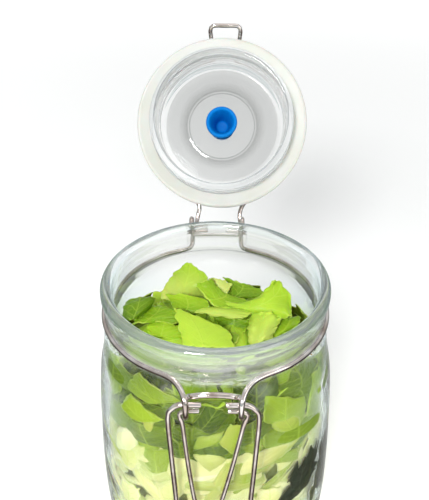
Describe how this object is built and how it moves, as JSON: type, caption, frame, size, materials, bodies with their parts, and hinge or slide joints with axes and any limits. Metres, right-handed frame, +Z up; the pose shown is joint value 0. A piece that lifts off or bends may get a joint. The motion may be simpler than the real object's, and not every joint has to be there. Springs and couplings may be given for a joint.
{
  "type": "fermentation jar",
  "caption": "Round clip-top glass jar with a hinged glass lid standing open, rubber ring, one-way valve and wire clasp, filled with cut green cabbage.",
  "frame": {"origin": "centre of the jar's flat base, on the surface the jar stands on", "axes": "+Z up along the jar's axis, -Y towards the clasp, the lid's hinge on the +Y side"},
  "size_m": [0.1232, 0.1978, 0.2526],
  "materials": {
    "glass": "clear pressed glass with a faint green edge",
    "wire": "bright drawn stainless wire",
    "gasket": "matt off-white silicone",
    "valve": "satin blue silicone",
    "green_leaf": "moist waxy leaf",
    "pale_shred": "moist pale cabbage",
    "dark_leaf": "moist dark leaf"
  },
  "bodies": {
    "jar": {"jar_glass": "glass", "collar_wire": "wire", "cabbage_leaves": "green_leaf", "cabbage_shreds": "pale_shred", "dark_leaf_1": "dark_leaf", "dark_leaf_2": "dark_leaf"},
    "lid": {"lid_glass": "glass", "gasket": "gasket", "valve": "valve", "lid_wire": "wire"},
    "lever": {"clasp_lever": "wire"},
    "link": {"clasp_link": "wire"}
  },
  "joints": [
    {"name": "lid_hinge", "type": "hinge", "parent": "jar", "child": "lid", "pos_m": [0.00088, 0.0595, 0.1598], "axis": [0.9992, -0.0401, 0], "range_deg": [0, 122.2]},
    {"name": "lever_swing", "type": "hinge", "parent": "jar", "child": "lever", "pos_m": [-0.00084, -0.05649, 0.1448], "axis": [-0.9999, 0.0148, 0], "range_deg": [0, 160]},
    {"name": "link_swing", "type": "hinge", "parent": "jar", "child": "link", "pos_m": [-0.00084, -0.05649, 0.1414], "axis": [-0.9999, 0.0148, 0], "range_deg": [0, 125]}
  ]
}
